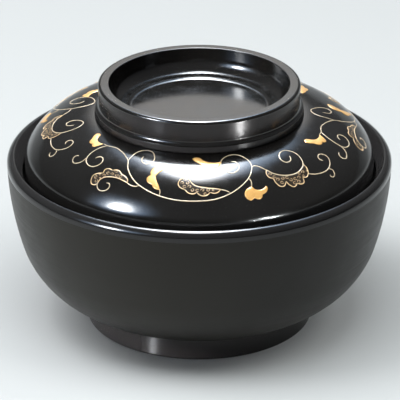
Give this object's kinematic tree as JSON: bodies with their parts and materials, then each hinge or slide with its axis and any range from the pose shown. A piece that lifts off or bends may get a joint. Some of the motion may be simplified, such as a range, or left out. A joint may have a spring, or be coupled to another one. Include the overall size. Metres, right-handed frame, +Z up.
{
  "type": "lidded lacquer bowl",
  "caption": "Round black lidded soup bowl: turned bowl on a foot ring, and a domed lift-off lid with a tall grip ring and a gold scroll ornament.",
  "frame": {"origin": "on the common axis of bowl and lid, in the plane that the foot ring stands on", "axes": "+Z up along the axis, -Y towards the front of the ornament, +X to its right"},
  "size_m": [0.1502, 0.1502, 0.098],
  "materials": {
    "lacquer_satin_black": "satin black lacquer outside, polished lip and inside",
    "lacquer_foot_black": "polished black lacquer",
    "lacquer_gloss_black": "mirror-polished black lacquer",
    "gold_line": "fine pale gold lines",
    "gold_leaf": "sprinkled gold, dense and bright",
    "gold_filigree": "sprinkled gold with fine scroll lines"
  },
  "bodies": {
    "bowl": {"bowl_body": "lacquer_satin_black", "bowl_foot_ring": "lacquer_foot_black"},
    "lid": {"lid_dome": "lacquer_gloss_black", "lid_grip_ring": "lacquer_gloss_black", "gold_vines": "gold_line", "gold_solid_leaves": "gold_leaf", "gold_filigree_leaves": "gold_filigree"}
  },
  "joints": [
    {"name": "lid_lift", "type": "slide", "parent": "bowl", "child": "lid", "axis": [0, 0, 1], "range_m": [0, 0.09]}
  ]
}
